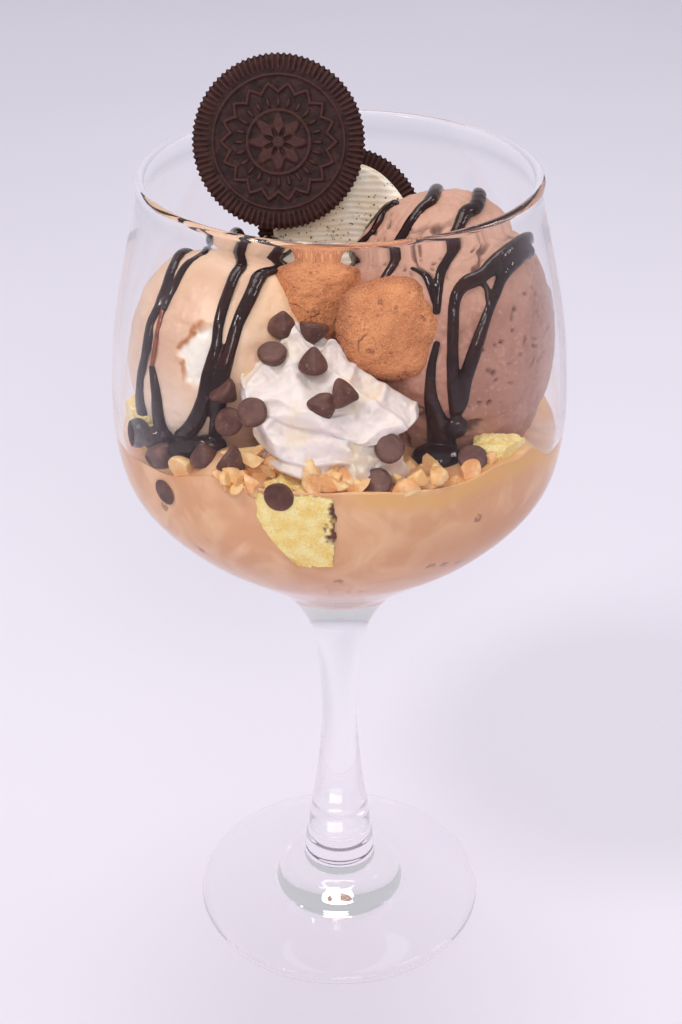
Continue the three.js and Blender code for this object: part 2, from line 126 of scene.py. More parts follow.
CHOCOLATE_DRIZZLES = [
    [(140, 15, 1.3), (150, 45, 1.3), (167, 63, 1.4), (173, 57, 1.2), (-173, 50, 1.0), (-179, 41, 1.0),
     (167, 33, 0.9)],
    [(92, 15, 1.5), (95, 60, 1.6), (-178, 83, 1.7), (-145, 73, 1.3), (-137, 61, 1.3), (-136, 51, 1.3),
     (-134, 36, 1.3)],
    [(60, 15, 1.5), (55, 55, 1.6), (-19, 74, 1.8), (-59, 73, 1.7), (-81, 64, 1.4), (-93, 53, 1.3),
     (-97, 44, 1.2), (-98, 30, 1.0)],
    [(-118, 47, 0.6), (-108, 44, 0.9), (-103, 40, 1.1), (-99, 34, 1.1)],
    [(40, 5, 1.6), (30, 30, 1.8), (9, 42, 2.0), (-20, 49, 2.7), (-49, 48, 2.4), (-69, 43, 1.8),
     (-82, 40, 1.7), (-88, 34, 1.4), (-89, 22, 1.4), (-89, 11, 1.4), (-88, -2, 1.5), (-87, -9, 1.3)],
    [(-22, 44, 1.9), (-34, 45, 1.9), (-54, 41, 1.4), (-63, 35, 1.3), (-70, 28, 1.3), (-77, 17, 1.6),
     (-82, 6, 1.6), (-84, -4, 1.6), (-86, -9, 1.4)],
    [(-80, 40, 0.8), (-73, 41, 0.8), (-68, 37, 0.8), (-70, 28, 0.9)],
    [(-97, 18, 0.8), (-99, 9, 1.1), (-99, -1, 1.5), (-97, -9, 2.2), (-94, -18, 3.0), (-92, -27, 3.4)],
]
# The share of its radius that a drizzle is sunk, how far it is lifted again, and how its width varies
DRIZZLE_SUNK = 0.1
DRIZZLE_LIFT = 0.0004
DRIZZLE_WIDER = 1.08
DRIZZLE_SWELL = 0.08
DRIZZLE_SIDES = 14
DRIZZLE_STEPS = 14
POOL_CUTS = 12
POOL_RELIEF = 0.12
POOL_LUMP = 0.006
SAUCE_VOXEL = 0.00032
SAUCE_SMOOTHING = 4
VANILLA_POOLS = [
    ((-0.051, -0.0272, 0.1795), (0.0032, 0.0026, 0.0042)),
    ((-0.0455, -0.0285, 0.1785), (0.0046, 0.0036, 0.0036)),
    ((-0.038, -0.0345, 0.1785), (0.0055, 0.0036, 0.003)),
    ((-0.0325, -0.0368, 0.1808), (0.0044, 0.003, 0.0028)),
]
CHOCOLATE_POOLS = [
    ((0.0245, -0.0372, 0.1775), (0.0068, 0.005, 0.004)),
    ((0.029, -0.0372, 0.186), (0.003, 0.0022, 0.003)),
]

# Sandwich cookie
WAFER_RADIUS = 0.0224
WAFER_THICK = 0.004
WAFER_SIDES = 720
WAFER_FLUTES = 90
WAFER_FLUTE_DEPTH = 0.0005
WAFER_FLUTE_HEIGHT = 0.0006
WAFER_RELIEF = 0.0007
WAFER_FRONT = {"centre": (-0.0157, 0.012, 0.2432), "lean": 18}
WAFER_BACK = {"centre": (0.0005, 0.016, 0.2175), "lean": 21}
FILLING_RADIUS = 0.018
FILLING_THICK = 0.0028
FILLING_SIDES = 240
CRUMBS = 400
CRUMB_HALF = 0.00034
CRUMB_CUTS = 4
CRUMB_SEED = 12

# Small round cookies
COOKIE_BACK = {
    "centre": (-0.0052, -0.0155, 0.2126), "half": (0.0134, 0.0124, 0.0062), "lean": 25, "seed": 50,
}
COOKIE_FRONT = {
    "centre": (0.0126, -0.03, 0.2098), "half": (0.0138, 0.0134, 0.0066), "lean": 22, "seed": 70,
}
COOKIE_FLAT = 0.55
COOKIE_CUTS = 90

# Whipped cream
# Each tier: middle, then half its width and depth
WHIP_TIERS = [
    (0.005, -0.0425, 0.1725, 0.009, 0.008), (0.0036, -0.043, 0.176, 0.0124, 0.01),
    (-0.0004, -0.0435, 0.1806, 0.0166, 0.012), (-0.0014, -0.0435, 0.1864, 0.0192, 0.0136),
    (-0.004, -0.0412, 0.1925, 0.0208, 0.0132), (-0.007, -0.038, 0.198, 0.0178, 0.0112),
    (-0.0088, -0.0336, 0.2028, 0.0108, 0.0076), (-0.0106, -0.0298, 0.2072, 0.004, 0.0038),
    (-0.0118, -0.0278, 0.21, 0.0009, 0.0009),
]
# Middle and radius along the ridge that ends beside the tip
WHIP_PEAK = [
    (-0.002, -0.0325, 0.2065, 0.0016), (-0.0015, -0.035, 0.202, 0.0038),
    (0.001, -0.038, 0.195, 0.006),
]
WHIP_PEAK_FACING = (0.0, -1.0, 0.2)
WHIP_PEAK_SIDES = 24
WHIP_SIDES = 300
WHIP_VOXEL = 0.0004
WHIP_SMOOTHING = 3
WHIP_TIER_STEPS = 22
WHIP_LOBES = 7
WHIP_TURNS = 2.6
# How far the ridges are rounded off
WHIP_ROUND = 0.06
# Creases across its left front: shares of its height, depth and the way that they face
WHIP_CREASES = [0.22, 0.33]
WHIP_CREASE_DEPTH = 0.13
WHIP_CREASE_BEARING = math.radians(225)

# Sponge cake: centre, size, turn in degrees
CAKES = {
    "cake_front": ((-0.0105, -0.051, 0.168), (0.02, 0.015, 0.021), -6),
    "cake_left": ((-0.05, -0.02, 0.177), (0.013, 0.012, 0.013), 20),
    "cake_right": ((0.0395, -0.037, 0.177), (0.013, 0.009, 0.009), -25),
}
CAKE_CUTS = 80
CAKE_SEED = 80
CAKE_TORN = 0.55
CAKE_INTO_WALL = 0.0006
CAKE_OFF_WALL = 0.0015

# Chocolate chips: place and the way that the tip points
CHIP_RADIUS = 0.004
CHIP_HEIGHT = 0.0066
CHIP_SIDES = 48
CHIP_TIP_LEAN = 0.0006
CHIP_SHRINK = 0.92
CHIP_INTO_WALL = 0.0009
CHIP_OUTLINE = [
    (0.0, -1.0), (0.55, -1.0), (0.84, -0.97), (0.98, -0.82), (0.98, -0.62), (0.87, -0.25),
    (0.68, 0.12), (0.48, 0.45), (0.31, 0.72), (0.17, 0.9), (0.0, 0.97),
]
CHIPS = [
    ((-0.0142, -0.0295, 0.2115), (0, -0.3, 0.95)), ((-0.0066, -0.0315, 0.2085), (-0.2, -0.3, -0.9)),
    ((-0.0162, -0.0355, 0.204), (0.05, 0.35, -0.93)), ((-0.0064, -0.0405, 0.2064), (0, -0.1, 1)),
    ((-0.0051, -0.051, 0.1992), (-0.7, -0.5, 0.5)), ((0.0018, -0.0495, 0.2013), (0.95, -0.2, 0)),
    ((0.012, -0.0505, 0.187), (0, 0.87, -0.5)), ((-0.0209, -0.047, 0.195), (0, 0.87, -0.5)),
    ((-0.026, -0.041, 0.1893), (0.55, 0.7, -0.45)), ((-0.0275, -0.0385, 0.1957), (0.6, 0.2, -0.75)),
    ((-0.0335, -0.0425, 0.182), (-0.1, -0.1, 1)), ((-0.0256, -0.0498, 0.1825), (0.7, -0.3, -0.5)),
    ((-0.0142, -0.056, 0.1775), (0.2, 0.97, -0.1)), ((-0.0445, -0.034, 0.1775), (0.3, -0.2, 0.9)),
    ((-0.0428, -0.0396, 0.1702), (0.65, 0.65, 0.35)), ((0.033, -0.0415, 0.1785), (0.1, 0.5, -0.85)),
    ((0.0095, -0.0535, 0.1785), (0.2, 0.6, -0.6)), ((0.04, 0.03, 0.178), (0.1, 0.1, 1)),
    ((-0.022, 0.042, 0.1775), (-0.6, 0.3, 0.5)),
]

# Chopped nuts
NUT_HALF = (0.0033, 0.0024, 0.002)
NUT_LIFT = 0.0006
NUT_CUTS = 7
NUT_SEED = 20
# Flat faces broken off each nut or crumb
CHUNK_BREAKS = 7
CREAM_NUTS = [
    (-0.028, -0.05), (-0.0235, -0.0455), (-0.024, -0.052), (0.004, -0.0555), (0.014, -0.0515),
    (0.016, -0.055), (0.019, -0.0475), (0.0215, -0.052), (0.025, -0.047), (0.0275, -0.051),
    (0.023, -0.0435), (0.018, -0.043), (0.032, -0.047), (0.037, -0.041), (-0.038, -0.042),
    (0.03, 0.044), (-0.006, 0.05), (-0.04, 0.034), (0.008, 0.046),
]
CAKE_NUTS = [
    (-0.019, -0.0485), (-0.0065, -0.0555), (-0.01, -0.0495),
    (-0.006, -0.053), (-0.003, -0.056), (-0.004, -0.049), (-0.014, -0.046),
]
# Lowest and highest corner of each heap before the whipped cream, and how many nuts
NUT_HEAPS = [
    ((-0.0275, -0.0555, 0.1785), (-0.012, -0.046, 0.187), 30),
    ((-0.0125, -0.0568, 0.18), (0.002, -0.052, 0.1855), 24),
]
# Kept free round the chip that lies on the front cake
NUT_FREE = (-0.0142, -0.055, 0.18)
NUT_FREE_RADIUS = 0.0064
# Nuts between the heap's foot and the glass
NUT_ROW = [-0.0065, -0.003, 0.0005, 0.004, 0.019, 0.0232]
NUT_ROW_REACH = 0.0562
NUT_ROW_HEIGHT = 0.1808

# Camera and room
CAMERA_PLACE = (0.0, -0.419, 0.383)
CAMERA_DOWN = 30.14
CAMERA_LENS = 60.33
CAMERA_SHIFT = 1.5 / 1024
FLOOR_SIZE = 6.0
ROOM_COLOUR = (0.95, 0.94, 1.0, 1)
ROOM_STRENGTH = 0.58
# Lamps: place, what they are aimed at, width, power and colour
LAMPS = {
    "key": ((-0.4, -0.3, 0.8), (0, 0, 0.19), 0.17, 1.7, (1.0, 0.96, 0.92)),
    "top": ((0.05, 0.5, 1.45), (0, 0.1, 0.1), 0.8, 5.2, (1.0, 0.97, 0.95)),
    "front": ((0.15, -1.1, 0.95), (0, 0, 0.15), 0.5, 3.8, (1.0, 0.97, 0.94)),
    "side": ((0.5, 0.1, 0.6), (0, 0, 0.19), 0.14, 0.35, (1.0, 1.0, 1.0)),
}

# Tubes: shares of the round ends that have a ring, and how flat they are
TUBE_ENDS = (0.0, 0.35, 0.7, 0.92)
TUBE_FLAT = 0.8

# Repeatable noise
HASH_STEPS = (73856093, 19349663, 83492791, 2654435)
HASH_MIX = (668265263, 374761393)
HASH_TOP = 0xFFFFFF


def hashed(cell, seed):
    """A repeatable value from 0 to 1 for each whole-numbered cell."""
    n = cell[..., 0] * HASH_STEPS[0] ^ cell[..., 1] * HASH_STEPS[1] ^ cell[..., 2] * HASH_STEPS[2]
    n = n ^ (seed * HASH_STEPS[3])
    n = (n ^ (n >> 15)) * HASH_MIX[0]
    n = (n ^ (n >> 13)) * HASH_MIX[1]
    return ((n ^ (n >> 16)) & HASH_TOP) / HASH_TOP


def noise(points, size, seed):
    """Smooth unevenness from -1 to 1 with lumps of a given size."""
    spots = points / size + 0.37 * seed
    base = np.floor(spots)
    part = spots - base
    part = part ** 3 * (part * (part * 6 - 15) + 10)
    base = base.astype(np.int64)
    total = 0
    for corner in itertools.product((0, 1), repeat=3):
        weight = np.prod(np.where(corner, part, 1 - part), axis=-1)
        total = total + weight * hashed(base + np.array(corner), seed)
    return 2 * total - 1


def rough(points, size, seed, octaves=3, keep=0.5):
    """Unevenness with finer and finer lumps on top."""
    total = 0
    turned = points
    for k in range(octaves):
        total = total + keep ** k * noise(turned, size / 2 ** k, seed + k)
        turned = turned[..., [1, 2, 0]] + 0.011
    return total


def wound(points, depth, size, seed, field=rough):
    """Points pushed about by unevenness, so that what is drawn by them winds."""
    return points + depth * np.stack([field(points, size, seed + k) for k in range(3)], -1)


def cells(points, size, seed):
    """Distances to the nearest and the second nearest of scattered spots, in cell sizes."""
    spots = points / size
    base = np.floor(spots).astype(np.int64)
    near = np.full(points.shape[:-1], 9.0)
    second = near.copy()
    for offset in itertools.product((-1, 0, 1), repeat=3):
        cell = base + np.array(offset)
        spot = cell + np.stack([hashed(cell, seed + k) for k in range(3)], -1)
        reach = np.linalg.norm(spots - spot, axis=-1)
        second = np.minimum(second, np.maximum(near, reach))
        near = np.minimum(near, reach)
    return near, second


def wave(points, size, phase):
    """Crossing waves of one length, from -1 to 1."""
    x, y, z = (2 * math.pi / size * points[..., k] for k in range(3))
    return (
        np.sin(x + phase) * np.cos(y - 2 * phase)
        + np.sin(y + 3 * phase) * np.cos(z + phase)
        + np.sin(z - phase) * np.cos(x + 2 * phase)
    ) / 3


def step(value, low, high):
    """0 below low, 1 above high and smooth between."""
    t = np.clip((value - low) / (high - low), 0, 1)
    return t * t * (3 - 2 * t)


def spline(knots, steps):
    """A smooth line through the knots, with a number of steps between each two."""
    knots = np.array(knots, float)
    padded = np.pad(knots, ((1, 1), (0, 0)), "edge")
    slopes = (padded[2:] - padded[:-2]) / 2
    t = (np.arange(steps) / steps)[:, None, None]
    line = knots[:-1] * (2 * t ** 3 - 3 * t ** 2 + 1) + slopes[:-1] * (t ** 3 - 2 * t ** 2 + t)
    line = line + knots[1:] * (3 * t ** 2 - 2 * t ** 3) + slopes[1:] * (t ** 3 - t ** 2)
    return np.vstack([line.transpose(1, 0, 2).reshape(-1, knots.shape[1]), knots[-1:]])


def one_long(vectors):
    """Vectors made one long."""
    return vectors / np.linalg.norm(vectors, axis=-1, keepdims=True)


def skin(rings):
    """Points and faces of a closed skin over rings of points, with both ends filled."""
    count, around = rings.shape[:2]
    index = np.arange(count * around).reshape(count, around)
    after = np.roll(index, -1, axis=1)
    quads = np.stack([index[:-1], after[:-1], after[1:], index[1:]], -1).reshape(-1, 4)
    points = np.vstack([rings.reshape(-1, 3), rings[0].mean(0), rings[-1].mean(0)])
    faces = quads.tolist()
    first, last = count * around, count * around + 1
    faces += [[first, b, a] for a, b in zip(index[0].tolist(), after[0].tolist())]
    faces += [[last, a, b] for a, b in zip(index[-1].tolist(), after[-1].tolist())]
    return points, faces


def circle(count):
    """Evenly spaced bearings, with their cosines and sines."""
    angles = np.linspace(0, 2 * math.pi, count, endpoint=False)
    return angles, (np.cos(angles), np.sin(angles))


def ring(way, reach, height):
    """Points round the axis, from the cosines and sines of their bearings."""
    x, y = reach * way[0], reach * way[1]
    return np.stack([x, y, np.broadcast_to(height, x.shape)], 1)


def ball(cuts):
    """Points and faces of a unit ball of even quads."""
    steps = np.tan(np.linspace(-1, 1, cuts + 1) * math.pi / 4)
    u, v = np.meshgrid(steps, steps, indexing="ij")
    points, faces = [], []
    grid = np.arange((cuts + 1) ** 2).reshape(cuts + 1, cuts + 1)
    for axis, side in itertools.product(range(3), (-1, 1)):
        sheet = np.roll(np.stack([np.full(u.shape, side), u * side, v], -1), axis, -1)
        index = grid + len(points) * grid.size
        quad = [index[:-1, :-1], index[1:, :-1], index[1:, 1:], index[:-1, 1:]]
        faces.append(np.stack(quad, -1).reshape(-1, 4))
        points.append(sheet.reshape(-1, 3))
    points = one_long(np.vstack(points))
    _, first, place = np.unique(np.round(points, 7), axis=0, return_index=True, return_inverse=True)
    return points[first], place.reshape(-1)[np.vstack(faces)].tolist()


def tube(line, radii, up, sides):
    """Points and faces of a tube with round ends along a line, squeezed a little along up."""
    ahead = one_long(np.gradient(line, axis=0))
    across = one_long(np.cross(ahead, up))
    over = np.cross(across, ahead)
    out = 1 - np.array(TUBE_ENDS)
    size = np.maximum(np.sqrt(1 - out ** 2), 0.02)
    first = line[0] - ahead[0] * radii[0] * out[:, None]
    last = line[-1] + ahead[-1] * radii[-1] * out[::-1, None]
    places = np.vstack([first, line, last])
    spread = np.concatenate([radii[0] * size, radii, radii[-1] * size[::-1]])[:, None]
    pad = ((len(out), len(out)), (0, 0))
    across, over = np.pad(across, pad, "edge"), np.pad(over, pad, "edge")
    _, (cosines, sines) = circle(sides)
    rings = places + spread * (cosines[:, None, None] * across + TUBE_FLAT * sines[:, None, None] * over)
    return skin(rings.transpose(1, 0, 2))


def joined(parts):
    """Several sets of points and faces as one."""
    points, faces, start = [], [], 0
    for part_points, part_faces in parts:
        points.append(part_points)
        faces += [[start + i for i in face] for face in part_faces]
        start += len(part_points)
    return np.vstack(points), faces


def mesh_from(name, points, faces):
    mesh = bpy.data.meshes.new(name)
    mesh.from_pydata(points.tolist(), [], faces)
    mesh.update()
    return mesh


def placed(name, data):
    """An object of the scene that shows a mesh, a lamp or a camera."""
    body = bpy.data.objects.new(name, data)
    bpy.context.scene.collection.objects.link(body)
    return body


def melted(parts, voxel, rounds):
    """One smooth skin round overlapping closed parts."""
    body = placed("melting", mesh_from("melting", *joined(parts)))
    remesh = body.modifiers.new("remesh", "REMESH")
    remesh.mode = "VOXEL"
    remesh.voxel_size = voxel
    smooth = body.modifiers.new("smooth", "SMOOTH")
    smooth.iterations = rounds
    graph = bpy.context.evaluated_depsgraph_get()
    mesh = bpy.data.meshes.new_from_object(body.evaluated_get(graph))
    points = np.empty(len(mesh.vertices) * 3)
    mesh.vertices.foreach_get("co", points)
    faces = [list(face.vertices) for face in mesh.polygons]
    bpy.data.objects.remove(body)
    bpy.data.meshes.remove(mesh)
    return points.reshape(-1, 3), faces


def piece(name, points, faces, look, nodes, slot, smooth=True, marks=None):
    """A mesh piece that rides on the part and stands for CAD nodes."""
    mesh = mesh_from(name, points, faces)
    mesh.polygons.foreach_set("use_smooth", [smooth] * len(mesh.polygons))
    for mark, values in (marks or {}).items():
        layer = mesh.attributes.new(mark, "FLOAT", "POINT")
        layer.data.foreach_set("value", np.asarray(values, np.float32))
    mesh.materials.append(look)
    body = placed(name, mesh)
    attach(body, "root")
    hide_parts(*nodes)
    return body


def light_of(tone):
    """A colour as seen on a screen, 0 to 255, as light."""
    shares = [part / 255 for part in tone]
    return tuple(s / 12.92 if s <= 0.04045 else ((s + 0.055) / 1.055) ** 2.4 for s in shares)


class Look:
    """A material under construction: a first tone, layers painted over it and grain."""

    def __init__(self, name, tone=None):
        self.material = bpy.data.materials.new(name)
        self.material.use_nodes = True
        self.tree = self.material.node_tree
        self.tree.nodes.clear()
        self.output = self.tree.nodes.new("ShaderNodeOutputMaterial")
        self.place = self.node("ShaderNodeTexCoord").outputs["Object"]
        self.colour = tone
        self.normal = None

    def node(self, kind, **settings):
        """A node with its options, in small letters, and its inputs, in capitals."""
        made = self.tree.nodes.new(kind)
        for key, value in settings.items():
            if key[0].islower():
                setattr(made, key, value)
            else:
                self.feed(made.inputs[key.replace("_", " ")], value)
        return made

    def feed(self, socket, value):
        if isinstance(value, bpy.types.NodeSocket):
            self.tree.links.new(value, socket)
        else:
            socket.default_value = value

    def spots(self, size, detail=2.0, distortion=0.0):
        """Noise from 0 to 1 with lumps of a given size in metres."""
        inputs = {"Scale": 1 / size, "Detail": detail, "Distortion": distortion}
        return self.node("ShaderNodeTexNoise", Vector=self.place, **inputs).outputs["Fac"]

    def patches(self, size, detail, low, high, distortion=0.0):
        """The same noise, stretched."""
        return self.between(self.spots(size, detail, distortion), low, high)

    def pores(self, size):
        """Distance to the nearest of scattered spots."""
        return self.node("ShaderNodeTexVoronoi", Vector=self.place, Scale=1 / size).outputs["Distance"]

    def mark(self, name):
        """A value that the mesh carries at each point."""
        return self.node("ShaderNodeAttribute", attribute_name=name).outputs["Fac"]

    def between(self, value, low, high):
        """A value stretched so that low gives 0 and high gives 1."""
        ends = {"From_Min": low, "From_Max": high}
        made = self.node("ShaderNodeMapRange", interpolation_type="SMOOTHSTEP", Value=value, **ends)
        return made.outputs["Result"]

    def times(self, a, b, operation="MULTIPLY"):
        made = self.node("ShaderNodeMath", operation=operation)
        self.feed(made.inputs[0], a)
        self.feed(made.inputs[1], b)
        return made.outputs[0]

    def paint(self, share, tone, strength=None):
        """Covers a share of the colour so far with another tone: a mark's name, patches or a value."""
        if isinstance(share, str):
            share = self.mark(share)
        elif isinstance(share, tuple):
            share = self.patches(*share)
        if strength is not None:
            share = self.times(share, strength)
        made = self.node("ShaderNodeMix", data_type="RGBA")
        self.feed(made.inputs["Factor"], share)
        for name, value in (("A", self.colour), ("B", tone)):
            socket = next(s for s in made.inputs if s.name == name and s.type == "RGBA")
            self.feed(socket, (*light_of(value), 1.0) if isinstance(value, tuple) else value)
        self.colour = next(s for s in made.outputs if s.type == "RGBA")

    def grain(self, size, detail, depth):
        """Gives the surface small lumps."""
        made = self.node("ShaderNodeBump", Height=self.spots(size, detail), Distance=depth, Strength=1.0)
        if self.normal is not None:
            self.feed(made.inputs["Normal"], self.normal)
        self.normal = made.outputs["Normal"]

    def finish(self, roughness, soft=None, **more):
        """The finished material; soft is how much light goes in, and how deep."""
        if soft:
            more.update(Subsurface_Weight=soft[0], Subsurface_Scale=soft[1])
        shader = self.node("ShaderNodeBsdfPrincipled", Base_Color=self.colour, Roughness=roughness, **more)
        if self.normal is not None:
            self.feed(shader.inputs["Normal"], self.normal)
        self.feed(self.output.inputs["Surface"], shader.outputs["BSDF"])
        return self.material


def glass_look(name, shine):
    """Clear glass that lets light through to what stands in and behind it."""
    look = Look(name)
    glass = look.node(
        "ShaderNodeBsdfPrincipled", Roughness=0.0, IOR=GLASS_BENDING, Base_Color=(1.0, 1.0, 1.0, 1),
        Transmission_Weight=1.0, Specular_Tint=(shine, shine, shine, 1),
    )
    clear = look.node("ShaderNodeBsdfTransparent", Color=GLASS_TINT)
    path = look.node("ShaderNodeLightPath")
    trapped = look.times(path.outputs["Glossy Depth"], TRAPPED_DEPTH, "GREATER_THAN")
    through = look.times(path.outputs["Is Shadow Ray"], path.outputs["Is Diffuse Ray"], "MAXIMUM")
    through = look.times(through, trapped, "MAXIMUM")
    mix = look.node("ShaderNodeMixShader")
    for place, value in enumerate((through, glass.outputs["BSDF"], clear.outputs["BSDF"])):
        look.feed(mix.inputs[place], value)
    look.feed(look.output.inputs["Surface"], mix.outputs["Shader"])
    return look.material


def cream_look():
    look = Look("caramel_cream", (218, 160, 114))
    look.paint((0.016, 3, 0.35, 0.7, 1.5), (236, 188, 144))
    # darker towards the bottom, and painted shade over the lower right
    look.paint("low", (202, 142, 102))
    look.paint("edge", (226, 172, 100))
    ragged = look.times(look.spots(0.0011, 2), 0.0042)
    for spot in CREAM_SPECKS:
        away = look.node("ShaderNodeVectorMath", operation="DISTANCE")
        look.feed(away.inputs[0], look.place)
        look.feed(away.inputs[1], spot)
        reach = look.times(away.outputs["Value"], ragged, "ADD")
        look.paint(look.between(reach, 0.0035, 0.003), (124, 76, 62), 0.65)
    look.grain(0.004, 2, 0.0002)
    return look.finish(0.22, (0.15, 0.002), Coat_Weight=0.3)


def vanilla_look():
    look = Look("vanilla_ice_cream", (222, 180, 150))
    look.paint((0.02, 3, 0.35, 0.7, 0.6), (236, 200, 170))
    look.paint((0.009, 2, 0.58, 0.72), (238, 200, 150), 0.5)
    look.paint("pale", (250, 228, 210))
    # painted light: the right front is painted warmer and brighter, standing in for light and warm
    # reflections where the scoop lies in shade
    look.paint("painted_warm_light", (252, 210, 170))
    # painted light: the pit is coloured near white to lift the shade that falls in the hollow
    look.paint("pit", (250, 240, 226))
    look.paint("crust", (186, 122, 72))
    look.grain(0.0016, 3, 0.00012)
    return look.finish(0.42, (0.2, 0.003))


def chocolate_look():
    look = Look("chocolate_ice_cream", (170, 117, 97))
    look.paint((0.018, 3, 0.3, 0.72, 0.5), (192, 142, 122))
    # painted light: the top of the scoop is painted lighter, as if lit from above
    look.paint("high", (214, 166, 142))
    look.paint((0.0012, 3, 0.52, 0.72), (218, 174, 154), 0.4)
    # painted shade: cracks, pores and long holes are painted dark, as shade in the recesses
    look.paint("crack", (104, 62, 50))
    look.grain(0.0009, 3, 0.00018)
    look.grain(0.004, 3, 0.0003)
    return look.finish(0.5, (0.12, 0.002))


def sauce_look():
    look = Look("chocolate_sauce", (36, 10, 9))
    look.paint((0.008, 2, 0.4, 0.8), (56, 20, 15))
    look.grain(0.0035, 2, 0.0004)
    return look.finish(0.08, Specular_IOR_Level=0.35)


def amber_look():
    look = Look("thin_sauce", (96, 38, 26))
    look.paint((0.003, 2, 0.35, 0.65), (150, 76, 48))
    look.grain(0.002, 2, 0.0001)
    return look.finish(0.2)


def wafer_look():
    look = Look("chocolate_wafer", (42, 24, 23))
    look.paint((0.0025, 4, 0.35, 0.7), (66, 40, 37))
    look.paint("high", (80, 48, 43))
    look.grain(0.0006, 4, 0.00016)
    return look.finish(0.6, Specular_IOR_Level=0.25)


def crumb_look():
    look = Look("wafer_crumb", (110, 72, 54))
    look.paint((0.003, 2, 0.35, 0.65), (166, 128, 94))
    look.grain(0.0004, 2, 0.0001)
    return look.finish(0.7, Specular_IOR_Level=0.3)


def filling_look():
    look = Look("cream_filling", (250, 236, 210))
    look.paint((0.006, 3, 0.35, 0.7), (255, 248, 232))
    speck = look.between(look.pores(0.0011), 0.2, 0.14)
    look.paint(speck, (92, 60, 44), look.patches(0.005, 2, 0.56, 0.66))
    look.grain(0.0015, 3, 0.0002)
    return look.finish(0.55, (0.1, 0.001))


def cookie_look():
    look = Look("baked_cookie", (206, 128, 80))
    look.paint((0.008, 3, 0.35, 0.68), (230, 152, 98))
    look.paint("edge", (180, 106, 66))
    # painted shade: cracks and pores are painted darker, as shade in them
    look.paint("crack", (142, 82, 54))
    bit = look.times(look.pores(0.006), look.times(look.spots(0.001, 2), 0.4), "ADD")
    look.paint(look.between(bit, 0.36, 0.3), (140, 72, 48), 0.75)
    look.paint((0.0004, 2, 0.52, 0.66), (246, 188, 134), 0.45)
    look.paint((0.0006, 2, 0.42, 0.32), (160, 88, 54), 0.4)
    look.grain(0.0005, 3, 0.0005)
    return look.finish(0.72)


def whip_look():
    look = Look("whipped_cream", (236, 223, 216))
    look.paint((0.009, 2, 0.45, 0.75), (240, 223, 198))
    look.grain(0.0008, 3, 0.00008)
    return look.finish(0.42, (0.2, 0.002))


def cake_look():
    look = Look("sponge_cake", (246, 212, 122))
    look.paint((0.004, 3, 0.35, 0.7), (255, 236, 166))
    look.paint(look.between(look.pores(0.0006), 0.36, 0.12), (226, 168, 84), 0.5)
    look.paint((0.0007, 2, 0.55, 0.7), (255, 244, 196), 0.6)
    look.paint("brown", (104, 56, 46))
    look.grain(0.0007, 3, 0.0005)
    return look.finish(0.8, (0.1, 0.001))


def chip_look():
    look = Look("chocolate_chip", (84, 50, 42))
    look.paint((0.003, 4, 0.35, 0.75), (112, 72, 60))
    look.paint((0.0007, 2, 0.62, 0.7), (164, 128, 112), 0.5)
    look.grain(0.0008, 3, 0.00012)
    return look.finish(0.45, Specular_IOR_Level=0.3)


def nut_look():
    look = Look("chopped_nut", (224, 152, 92))
    look.paint("tone", (242, 196, 130))
    look.paint((0.003, 2, 0.4, 0.75), (248, 214, 160))
    look.paint(look.between(look.mark("tone"), 0.97, 0.98), (168, 88, 56))
    look.grain(0.0007, 3, 0.0001)
    return look.finish(0.4, (0.1, 0.001))


def floor_look():
    look = Look("pale_floor", (235, 231, 243))
    look.paint((0.4, 2, 0.3, 0.7), (238, 234, 246))
    return look.finish(0.7)


def bow(middle, radius, start, end):
    """A round edge from one angle to another, as radius and height."""
    turn = np.radians(np.linspace(start, end, EDGE_POINTS))
    return np.array(middle) + radius * np.stack([np.cos(turn), np.sin(turn)], 1)


def glass_outline():
    """Radius and height all along the glass: foot, outer face, rim and inside down to the floor."""
    edge = FOOT_EDGE / 2
    foot = bow((FOOT_RADIUS - edge, edge), edge, -90, 90)
    base = np.linspace(0, FOOT_RADIUS - 1.4 * edge, 12)
    under = np.stack([base, FOOT_HOLLOW * (1 - (base / base[-1]) ** 2)], 1)
    outside = spline(DOME + KNUCKLE + STEM + BOWL, 8)[:-1]
    rim = bow((RIM_RADIUS - RIM_BEAD, GLASS_HEIGHT - RIM_BEAD), RIM_BEAD, 0, 180)
    return np.vstack([under, foot, outside, rim, inside_line(WALL)[::-1]])


def inside_line(distance):
    """The bowl's inside, a distance in from its outer face, from the floor up."""
    line = spline(BOWL, BOWL_STEPS)
    ahead = one_long(np.gradient(line, axis=0))
    wall = line + distance * np.stack([-ahead[:, 1], ahead[:, 0]], 1)
    start = round(BOWL_INSIDE_START * (len(BOWL) - 1) * BOWL_STEPS)
    floor = np.array(BOWL_FLOOR_CURVE) + [0, distance - WALL]
    return np.vstack([spline(np.vstack([floor, wall[start]]), BOWL_FLOOR_STEPS)[:-1], wall[start:]])


def glass(look, edge_look):
    outline = glass_outline()
    _, way = circle(GLASS_SIDES)
    rings = [ring(way, reach, height) for reach, height in outline[1:-1]]
    points, faces = skin(np.array(rings))
    points[-2] = (0, 0, outline[0, 1])
    points[-1] = (0, 0, outline[-1, 1])
    body = piece("glass_goblet", points, faces, look, ["glass"], "glass")
    body.data.materials.append(edge_look)
    for face in body.data.polygons:
        x, y, z = face.center
        foot_edge = z < FOOT_EDGE and math.hypot(x, y) > FOOT_RADIUS - FOOT_EDGE
        face.material_index = int(foot_edge or z > GLASS_HEIGHT - 2 * RIM_BEAD)


